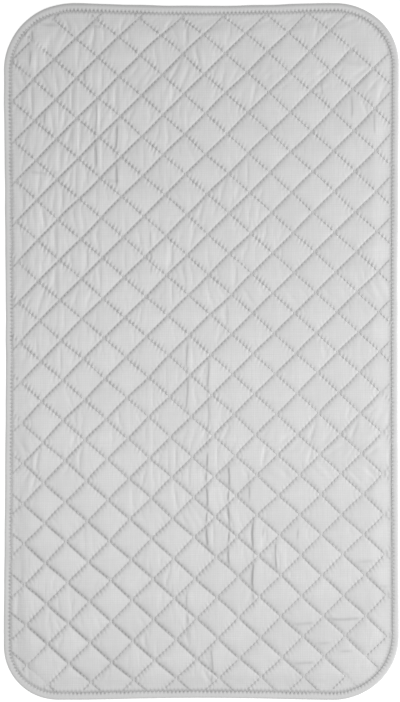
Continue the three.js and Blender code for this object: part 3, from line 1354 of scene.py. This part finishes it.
@dataclass
class QuiltedFace:
    """The puffed face: coated cotton on fleece, flat underneath where it meets the wadding."""

    layers: Layers
    finish: Cloth
    step: float = 1.0
    bottom: float = 3.0
    fill: float = 0.45
    free_reach: float = 2.5
    # Painted shade along taut seams, which spares the turns at the front.
    seam_shade_reach: float = 1.2
    seam_shade_power: float = 1.5
    seam_shade_between: float = 0.65
    front_y: float = 60.0
    front_run: float = 200.0
    turn_room: float = 8.0
    turn_from: float = 0.3
    # Painted shade in spots at the needle holes of slack seams, where the gathers fall in shadow.
    spot: float = 0.62
    spot_reach: float = 1.8
    spot_between: float = 0.3
    spot_grain: float = 5.0
    spot_mean: float = 0.6
    spot_uneven: float = 0.8
    spot_most: float = 1.2
    spot_ease: float = 0.55
    spot_room: float = 9.0
    spot_from: float = 0.4
    # Where the painted shade along creases fades out beside a seam.
    fold_shade_room: float = 5.0
    fold_shade_from: float = 0.2
    # Faint painted shade beside every seam, and painted shade in the valley beside the tape.
    broad_seam_shade: float = 0.08
    broad_seam_shade_reach: float = 6.0
    rim_shade: float = 0.5
    rim_reach: float = 2.4
    rim_gap: float = 0.4

    def painted_shading(self, x: np.ndarray, y: np.ndarray, away: np.ndarray) -> np.ndarray:
        """Where a darker colour is painted as shade: along seams and creases, at needle holes and beside
        the tape.

        The front part's seams get hardly any painted shade at their turns, and a faint painted shade lies
        beside every seam.

        Args:
            x: Points across the pad.
            y: Points along the pad.
            away: Distance from the nearest seam.

        Returns:
            From 0, none, to 1, fully darkened.
        """
        layers, quilting = self.layers, self.layers.quilting
        taut = quilting.tightness(x, y)
        holes = np.clip(np.cos(2 * math.pi * quilting.holes(x, y)), 0, 1)
        grain = self.spot_grain
        uneven = self.spot_mean + self.spot_uneven * wander(x / grain, y / grain, seed=41)
        room = quilting.room(x, y)
        along = self.seam_shade_between + (1 - self.seam_shade_between) * holes
        seams = taut**self.seam_shade_power * along * np.exp(-((away / self.seam_shade_reach) ** 2))
        turns = 1 - smooth_step(room / self.turn_room - self.turn_from)
        seams *= 1 - smooth_step((self.front_y - y) / self.front_run) * turns
        slack = self.spot * (1 - taut) * (1 - self.spot_ease * quilting.rightward(x))
        spots = slack * (self.spot_between + (1 - self.spot_between) * holes)
        spots *= np.clip(uneven, 0, self.spot_most) * np.exp(-((away / self.spot_reach) ** 2))
        spots *= smooth_step(room / self.spot_room - self.spot_from)
        rim = (layers.outline.inset(x, y) - layers.lap(x, y) - self.rim_gap) / self.rim_reach
        fold_shades = sum(crease.line(x, y) for crease in layers.creases)
        fold_shades *= smooth_step(away / self.fold_shade_room - self.fold_shade_from)
        broad_seam_shade = self.broad_seam_shade * np.exp(-((away / self.broad_seam_shade_reach) ** 2))
        inner = np.maximum(seams, spots) + fold_shades + broad_seam_shade
        return np.clip(np.maximum(inner, self.rim_shade * np.exp(-(rim**2))), 0, 1)

    def build(self) -> bpy.types.Object:
        """Model and dress the face.

        Returns:
            The finished piece.
        """
        bm = self.layers.cut_cloth(self.step)
        points = coordinates(bm)
        x, y = points[:, 0], points[:, 1]
        buckle = SlackCloth(self.layers).buckle(x, y)
        away = self.layers.from_seam(x, y)
        heights = self.layers.face_top(x, y) + buckle * smooth_step(away / self.free_reach)
        self.layers.shaped(bm, np.maximum(heights, self.layers.lowest))
        # Painted shade, stored on each point for the face's material to darken.
        painted_shade_layer = bm.verts.layers.float.new(PAINTED_SHADE_SHARE)
        for vertex, painted_shading in zip(bm.verts, self.painted_shading(x, y, away)):
            vertex[painted_shade_layer] = painted_shading
        rim = [e for e in bm.edges if e.is_boundary]
        wall = bmesh.ops.extrude_edge_only(bm, edges=rim)["geom"]
        for vertex in (g for g in wall if isinstance(g, bmesh.types.BMVert)):
            vertex.co.z = self.bottom
        bmesh.ops.edgeloop_fill(bm, edges=[e for e in bm.edges if e.is_boundary])
        piece = finish_piece("quilted_face_cloth", bm, self.finish.build())
        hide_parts("quilted_face")
        return piece


@dataclass
class Wadding:
    """The fleece inside, with a hole for each magnet."""

    layers: Layers
    finish: Cloth
    hole: float
    step: float = 3.0
    fill: float = 0.3

    def build(self) -> bpy.types.Object:
        """Model and dress the wadding.

        Returns:
            The finished piece.
        """
        layers = self.layers
        bm = layers.cut_cloth(self.step)
        points = coordinates(bm)
        for magnet_x, magnet_y in layers.magnets:
            reach = np.hypot(points[:, 0] - magnet_x, points[:, 1] - magnet_y)
            near = [v for v, r in zip(bm.verts, reach) if r < self.hole]
            bmesh.ops.delete(bm, geom=near, context="VERTS")
            points = coordinates(bm)
        under = layers.backing_under(points[:, 0], points[:, 1]) + layers.backing + layers.clear
        layers.shaped(bm, under)
        lid = bmesh.ops.extrude_face_region(bm, geom=list(bm.faces), use_keep_orig=True)["geom"]
        for vertex in (g for g in lid if isinstance(g, bmesh.types.BMVert)):
            vertex.co.z = layers.wadding_top
        piece = finish_piece("wadding_fleece", bm, self.finish.build())
        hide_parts("wadding")
        return piece


@dataclass
class Backing:
    """The plain cloth underneath, dented where the quilting draws it up."""

    layers: Layers
    finish: Cloth
    step: float = 3.0

    def build(self) -> bpy.types.Object:
        """Model and dress the backing.

        Returns:
            The finished piece.
        """
        layers = self.layers
        bm = layers.cut_cloth(self.step)
        points = coordinates(bm)
        area = sum(f.calc_area() for f in bm.faces) * MM * MM
        layers.shaped(bm, layers.backing_under(points[:, 0], points[:, 1]))
        bmesh.ops.solidify(bm, geom=list(bm.faces), thickness=-layers.backing)
        piece = finish_piece("backing_cloth", bm, self.finish.build())
        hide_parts("backing")
        return piece


@dataclass
class EdgeBinding:
    """A tape folded round the edge, rolled on top and gathered by its seam."""

    outline: Outline
    finish: Cloth
    lap: float = 8.0
    thickness: float = 0.45
    fold: float = 2.2
    height: float = 4.3
    slope: float = 0.6
    step: float = 1.0
    seam_inset: float = 7.5
    stitch: float = 4.8
    # The gathers that its seam draws.
    groove: float = 0.7
    groove_width: float = 1.2
    groove_from: float = 4.0
    groove_run: float = 3.0
    uneven: float = 0.5
    uneven_stitches: int = 3
    # How the lower lap curls up and the upper lap falls.
    curl: float = 0.25
    fall_from: float = 1.5
    fall_run: float = 2.6
    # The unsteady width of the lap.
    wobble: float = 0.35
    wobble_grain: float = 26.0
    # Painted shade at the needle holes, less at the lit right side, and on the rear roll, which faces away
    # from the lamps.
    hole_shade: float = 0.75
    lit_right_ease: float = 0.6
    rear_roll_shade: float = 0.35
    rear_roll_shade_inset: float = 1.6
    rear_roll_shade_reach: float = 1.8
    # The mesh's steps across the tape, and how near points are joined where its ends meet.
    lap_steps: int = 6
    fold_steps: int = 7
    joined: float = 0.001

    def section(self) -> np.ndarray:
        """The tape's cross-section, as a closed line.

        Returns:
            Rows of inset and height, from the lower lap round the fold to the upper lap and back inside.
        """
        run = np.linspace(0, 1, self.lap_steps)
        turn = np.linspace(0, math.pi, self.fold_steps + 2)[1:-1]
        lower = np.column_stack([self.lap + (self.fold - self.lap) * run, self.curl * (1 - run) ** 3])
        fold = np.column_stack([self.fold * (1 - np.sin(turn)), self.height / 2 * (1 - np.cos(turn))])
        upper = np.column_stack([self.fold + (self.lap - self.fold) * run, self.height - self.fall(run)])
        outside = np.vstack([lower, fold, upper])
        way = np.gradient(outside, axis=0)
        way = way / np.linalg.norm(way, axis=1, keepdims=True)
        inside = outside + self.thickness * np.column_stack([way[:, 1], -way[:, 0]])
        return np.vstack([outside, inside[::-1], outside[:1]])

    def fall(self, run: np.ndarray) -> np.ndarray:
        """How far the upper lap falls below the roll.

        Args:
            run: How far in along the lap, from 0 to 1.

        Returns:
            The fall at each point.
        """
        return self.slope * smooth_step(self.fall_run * run - self.fall_from)

    def gather(self, share: np.ndarray, inset: np.ndarray, round_mm: float) -> np.ndarray:
        """How deep the seam's needle holes draw the tape in.

        Args:
            share: How far round the edge, from 0 to 1.
            inset: Distance from the edge.
            round_mm: Length of the edge.

        Returns:
            The depth at each point.
        """
        count = round(round_mm / self.stitch)
        from_hole = (np.mod(share * count + 0.5, 1) - 0.5) * self.stitch
        along = share * count / self.uneven_stitches
        uneven = 1 + self.uneven * wander(along, np.zeros_like(share), seed=21)
        depth = self.groove * uneven * np.exp(-((from_hole / self.groove_width) ** 2))
        return depth * smooth_step((inset - self.groove_from) / self.groove_run)

    def build(self) -> bpy.types.Object:
        """Model and dress the tape.

        Returns:
            The finished piece.
        """
        section = self.section()
        round_mm = self.outline.walk(np.zeros(1))[4]
        bm = bmesh.new()
        bmesh.ops.create_grid(
            bm, x_segments=round(round_mm / self.step), y_segments=len(section) - 1, size=0.5
        )
        points = coordinates(bm)
        share, place = points[:, 0] + 0.5, (points[:, 1] + 0.5) * (len(section) - 1)
        inset = np.interp(place, np.arange(len(section)), section[:, 0])
        height = np.interp(place, np.arange(len(section)), section[:, 1])
        upper = smooth_step(height / self.height * 2 - 1)
        pull = self.gather(share, inset, round_mm) * upper
        height = height - pull
        share = np.mod(share, 1)
        shake = wander(share * (round_mm / self.wobble_grain), np.zeros_like(share), seed=5)
        inset = inset + self.wobble * shake * np.sin(math.pi * share)
        x, y, out_x, out_y, _ = self.outline.walk(share)
        inset = inset * self.outline.tape_share(out_y)
        x, y = self.outline.drawn(x - out_x * inset, y - out_y * inset)
        move_to(bm, np.column_stack([x, y, height]))
        # Painted shade in the gathers at the needle holes and on the rear roll, stored for the tape's
        # material to darken.
        painted_shade_layer = bm.verts.layers.float.new(PAINTED_SHADE_SHARE)
        painted_shade = self.hole_shade * pull / self.groove * (1 - self.lit_right_ease * np.maximum(0, out_x))
        roll = (inset - self.rear_roll_shade_inset) / self.rear_roll_shade_reach
        painted_shade += self.rear_roll_shade * np.maximum(0, out_y) * np.exp(-(roll**2))
        for vertex, painted_shading in zip(bm.verts, painted_shade):
            vertex[painted_shade_layer] = painted_shading
        bmesh.ops.remove_doubles(bm, verts=bm.verts, dist=self.joined)
        piece = finish_piece("binding_tape", bm, self.finish.build())
        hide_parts("edge_binding")
        return piece


@dataclass
class Stitching:
    """Threads as separate stitches, each a slim bead from needle hole to needle hole."""

    name: str
    finish: bpy.types.Material
    width: float = 0.95
    height: float = 0.6
    length_share: float = 0.92
    slew: float = 0.8
    slack_short: float = 0.25
    slack_thick: float = 0.5
    sides: int = 5
    rings: int = 4

    def build(self, ends: np.ndarray, heights: np.ndarray, slack: np.ndarray) -> bpy.types.Object:
        """Model and dress the stitches.

        Args:
            ends: Rows of x and y of the first hole, then x and y of the second.
            heights: The height of each stitch's middle.
            slack: How slack each stitch is, from 0 to 1. A slack one lies slantwise, shorter and thicker.

        Returns:
            The finished piece.
        """
        bead = bmesh.new()
        lie_down = Matrix.Rotation(math.pi / 2, 4, "X")
        bmesh.ops.create_uvsphere(
            bead, u_segments=self.sides, v_segments=self.rings, radius=0.5, matrix=lie_down
        )
        pool = bpy.data.meshes.new("beads")
        bead.to_mesh(pool)
        bead.free()
        form = np.array([v.co[:] for v in pool.vertices])
        whole = bmesh.new()
        left = len(ends)
        while left:
            if left % 2:
                whole.from_mesh(pool)
            left //= 2
            double = bmesh.new()
            double.from_mesh(pool)
            double.from_mesh(pool)
            double.to_mesh(pool)
            double.free()
        bpy.data.meshes.remove(pool)
        way = ends[:, 2:] - ends[:, :2]
        length = np.hypot(way[:, 0], way[:, 1])
        way = way / length[:, None]
        lengthwise = np.column_stack([np.zeros(len(way)), np.sign(way[:, 1])])
        way = way + self.slew * slack[:, None] * lengthwise
        way = way / np.linalg.norm(way, axis=1, keepdims=True)
        length = length * (1 - self.slack_short * slack)
        side = form[None, :, 0] * self.width * (1 + self.slack_thick * slack[:, None])
        run = form[None, :, 1] * length[:, None] * self.length_share
        x = (ends[:, 0] + ends[:, 2])[:, None] / 2 + run * way[:, :1] - side * way[:, 1:]
        y = (ends[:, 1] + ends[:, 3])[:, None] / 2 + run * way[:, 1:] + side * way[:, :1]
        z = heights[:, None] + form[None, :, 2] * self.height
        move_to(whole, np.column_stack([x.ravel(), y.ravel(), z.ravel()]))
        return finish_piece(self.name, whole, self.finish)


@dataclass
class Seams:
    """All the sewing: the quilting above and below, and the seam that holds the tape."""

    layers: Layers
    binding: EdgeBinding
    finish: bpy.types.Material
    face: bpy.types.Object
    backing: bpy.types.Object
    magnet_clear: float = 17.0
    shortest: int = 6
    bed: float = 0.15
    tape_clear: float = 0.5
    slack_most: float = 1.2
    slack_run: float = 1.6

    def lying_on(self, cloth: bpy.types.Object, x: np.ndarray, y: np.ndarray, side: Bed) -> np.ndarray:
        """Find the finished cloth's height at each stitch.

        Args:
            cloth: The cloth that the stitches lie on.
            x: Points across the pad.
            y: Points along the pad.
            side: The side that the stitches show on.

        Returns:
            The heights.
        """
        tree = BVHTree.FromObject(cloth, bpy.context.evaluated_depsgraph_get())
        out = 1 if side is Bed.FACE else -1
        way = Vector((0, 0, -out))
        hits = [tree.ray_cast(Vector((px * MM, py * MM, out)), way)[0] for px, py in zip(x, y)]
        return np.array([hit.z / MM for hit in hits]) + out * self.bed

    def long_runs(self, keep: np.ndarray) -> np.ndarray:
        """Leave out loose ends: runs of stitches that are too short to hold.

        Args:
            keep: Which stitches there are, row by row.

        Returns:
            Which of them lie in a run of at least the shortest length.
        """
        spare = self.shortest - 1
        padded = np.pad(keep, ((0, 0), (spare, spare)))
        held = sliding_window_view(padded, self.shortest, axis=1).all(axis=2)
        return sliding_window_view(held, self.shortest, axis=1).any(axis=2)

    def quilting(self, side: Bed) -> bpy.types.Object:
        """Sew the quilting's rows on one side of the pad.

        Args:
            side: The side that the stitches show on.

        Returns:
            The finished piece.
        """
        layers = self.layers
        ends = layers.quilting.stitches()
        inside = np.minimum(
            layers.outline.inset(ends[:, 0], ends[:, 1]), layers.outline.inset(ends[:, 2], ends[:, 3])
        )
        x, y = (ends[:, 0] + ends[:, 2]) / 2, (ends[:, 1] + ends[:, 3]) / 2
        keep = inside > layers.lap(x, y) + self.tape_clear
        for magnet_x, magnet_y in layers.magnets:
            keep &= np.hypot(x - magnet_x, y - magnet_y) > self.magnet_clear
        keep = self.long_runs(keep.reshape(layers.quilting.row_numbers().size, -1)).ravel()
        ends, x, y = ends[keep], x[keep], y[keep]
        first = layers.outline.drawn(ends[:, 0], ends[:, 1])
        second = layers.outline.drawn(ends[:, 2], ends[:, 3])
        cloth, slack = self.backing, np.zeros(len(x))
        if side is Bed.FACE:
            cloth = self.face
            slack = np.clip(self.slack_most - self.slack_run * layers.quilting.tightness(x, y), 0, 1)
        heights = self.lying_on(cloth, *layers.outline.drawn(x, y), side)
        piece = Stitching(f"quilting_stitches_{side.value}", self.finish).build(
            np.column_stack([*first, *second]), heights, slack
        )
        if side is Bed.FACE:
            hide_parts(*[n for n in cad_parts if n.startswith("quilt_thread_")])
        return piece

    def tape_seam(self) -> bpy.types.Object:
        """Sew the tape down along its upper lap.

        Returns:
            The finished piece.
        """
        binding = self.binding
        outline = binding.outline
        round_mm = outline.walk(np.zeros(1))[4]
        count = round(round_mm / binding.stitch)
        x, y, out_x, out_y, _ = outline.walk(np.arange(count + 1) / count % 1)
        inset = binding.seam_inset * outline.tape_share(out_y)
        x, y = outline.drawn(x - out_x * inset, y - out_y * inset)
        run = (binding.seam_inset - binding.fold) / (binding.lap - binding.fold)
        top = binding.height - float(binding.fall(np.array(run)))
        ends = np.column_stack([x[:-1], y[:-1], x[1:], y[1:]])
        piece = Stitching("binding_stitches", self.finish).build(
            ends, np.full(count, top + self.bed), np.zeros(count)
        )
        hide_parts("binding_thread")
        return piece


@dataclass(frozen=True)
class Lamp:
    """One softbox: where it stands, in metres, how wide and high it is, and its power in watts."""

    name: str
    place: tuple[float, float, float]
    size: tuple[float, float]
    power: float


@dataclass
class Studio:
    """White floor, a soft lamp at the pad's right, a small one above and an even white surround."""

    centre_x: float = -1.2
    centre_y: float = 0.0
    picture_height_mm: float = 855.0
    camera_height_mm: float = 4000.0
    sensor_mm: float = 36.0
    floor_half_mm: float = 6000.0
    floor_gap_mm: float = 0.05
    floor_colour: str = "#f2f2f2"
    far_m: float = 100.0
    aim: tuple[float, float, float] = (0.0, 0.0, 0.05)
    lamps: tuple[Lamp, ...] = (
        Lamp("side_softbox", (1.4, -0.12, 0.62), (0.8, 0.45), 12.8),
        Lamp("top_softbox", (-0.2, -0.22, 0.8), (0.4, 0.4), 1.3),
    )
    surround: float = 0.68
    floor_lift: float = 0.45

    def floor(self) -> bpy.types.Object:
        """Lay the floor, which looks white to the camera and still takes the pad's shadow.

        Returns:
            The floor.
        """
        bm = bmesh.new()
        bmesh.ops.create_grid(bm, x_segments=1, y_segments=1, size=self.floor_half_mm * MM)
        bmesh.ops.translate(bm, vec=(0, 0, -self.floor_gap_mm * MM), verts=bm.verts)
        mesh = bpy.data.meshes.new("studio_floor")
        bm.to_mesh(mesh)
        bm.free()
        material = bpy.data.materials.new("matt_white_floor")
        material.use_nodes = True
        tree = material.node_tree
        shader = tree.nodes["Principled BSDF"]
        shader.inputs["Base Color"].default_value = linear(self.floor_colour)
        shader.inputs["Roughness"].default_value = 1.0
        shader.inputs["Specular IOR Level"].default_value = 0.0
        shader.inputs["Emission Color"].default_value = (1, 1, 1, 1)
        rays = add_node(tree, "ShaderNodeLightPath").outputs
        seen = rays["Is Camera Ray"]
        for ray in ("Is Glossy Ray", "Is Transmission Ray"):
            larger = add_node(tree, "ShaderNodeMath", {"operation": "MAXIMUM"}, {0: seen, 1: rays[ray]})
            seen = larger.outputs[0]
        lift = add_node(tree, "ShaderNodeMath", {"operation": "MULTIPLY", 1: self.floor_lift}, {0: seen})
        tree.links.new(lift.outputs[0], shader.inputs["Emission Strength"])
        mesh.materials.append(material)
        floor = bpy.data.objects.new("studio_floor", mesh)
        bpy.context.scene.collection.objects.link(floor)
        return floor

    def light(self) -> None:
        """Set the lamps and the surround."""
        for lamp in self.lamps:
            light = bpy.data.lights.new(lamp.name, "AREA")
            light.shape = "RECTANGLE"
            light.size, light.size_y = lamp.size
            light.energy = lamp.power
            stand = bpy.data.objects.new(lamp.name, light)
            stand.visible_camera = False
            stand.location = lamp.place
            aim = Vector(self.aim) - Vector(lamp.place)
            stand.rotation_euler = aim.to_track_quat("-Z", "Y").to_euler()
            bpy.context.scene.collection.objects.link(stand)
        world = bpy.data.worlds.new("white_surround")
        world.use_nodes = True
        sky = world.node_tree.nodes["Background"]
        sky.inputs["Color"].default_value = (1, 1, 1, 1)
        sky.inputs["Strength"].default_value = self.surround
        bpy.context.scene.world = world

    def camera(self) -> None:
        """Hang the camera straight above the pad, far up, as the photograph was taken."""
        lens = bpy.data.cameras.new("overhead")
        lens.sensor_width = self.sensor_mm
        lens.lens = self.sensor_mm * self.camera_height_mm / self.picture_height_mm
        lens.clip_end = self.far_m
        overhead = bpy.data.objects.new("overhead", lens)
        overhead.location = (self.centre_x * MM, self.centre_y * MM, self.camera_height_mm * MM)
        bpy.context.scene.collection.objects.link(overhead)
        bpy.context.scene.camera = overhead

    def build(self) -> None:
        """Set up the whole studio."""
        self.floor()
        self.light()
        self.camera()
        bpy.context.scene.view_settings.view_transform = "Standard"


def magnet_places() -> tuple[tuple[float, float], ...]:
    """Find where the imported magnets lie.

    Returns:
        The x and y of each, in millimetres.
    """
    places = []
    for name in sorted(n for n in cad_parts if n.startswith("magnet_")):
        low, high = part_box(name)
        places.append(((low[0] + high[0]) / 2 / MM, (low[1] + high[1]) / 2 / MM))
    return tuple(places)


def dress_magnets(finish: Ferrite) -> None:
    """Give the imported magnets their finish.

    Args:
        finish: The magnets' material.
    """
    material = finish.build()
    for name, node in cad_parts.items():
        if name.startswith("magnet_"):
            for slot in node.material_slots:
                slot.material = material


def main() -> None:
    """Build the pad's pieces in order, then the studio."""
    logging.basicConfig(level=logging.INFO, format="%(name)s %(message)s")
    low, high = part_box("edge_binding")
    outline = Outline(width=(high[0] - low[0]) / MM, length=(high[1] - low[1]) / MM)
    layers = Layers(outline, Quilting(outline), magnet_places())
    # Metal pigment in the coating gives the cotton a satin grey; a darker grey is painted along seams,
    # creases and the tape as painted shade.
    silver = Cloth(
        "silver_coated_cotton",
        "#e0e0e0",
        "#c9c9c9",
        roughness=0.62,
        thread_mm=2.2,
        rib=0.12,
        metallic=0.1,
        painted_shade="#969696",
    )
    # The tape is plainer and more matt than the face; its darker grey is painted shade at its stitches and
    # rear roll.
    tape = Cloth(
        "cotton_tape", "#dadada", "#c6c6c6", roughness=0.75, thread_mm=1.6, rib=0.2, painted_shade="#8c8c8c"
    )
    # The lining is a warm grey, with a little nap.
    lining = Cloth(
        "plain_cotton_lining", "#bdbcb8", "#aeada9", roughness=0.85, thread_mm=1.8, rib=0.3, sheen=0.1
    )
    # The fleece is off-white, with loose fibres that catch the light at its rim.
    fleece = Cloth(
        "polyester_fleece", "#efeee9", "#e2e1dc", roughness=1.0, thread_mm=4.0, rib=0.4, sheen=0.4
    )
    face = QuiltedFace(layers, silver).build()
    Wadding(layers, fleece, hole=12.0).build()
    backing = Backing(layers, lining).build()
    binding = EdgeBinding(outline, tape)
    binding.build()
    seams = Seams(layers, binding, SpunThread().build(), face, backing)
    seams.quilting(Bed.FACE)
    seams.quilting(Bed.UNDERSIDE)
    seams.tape_seam()
    dress_magnets(Ferrite())
    Studio().build()


if __name__ == "__main__":
    main()
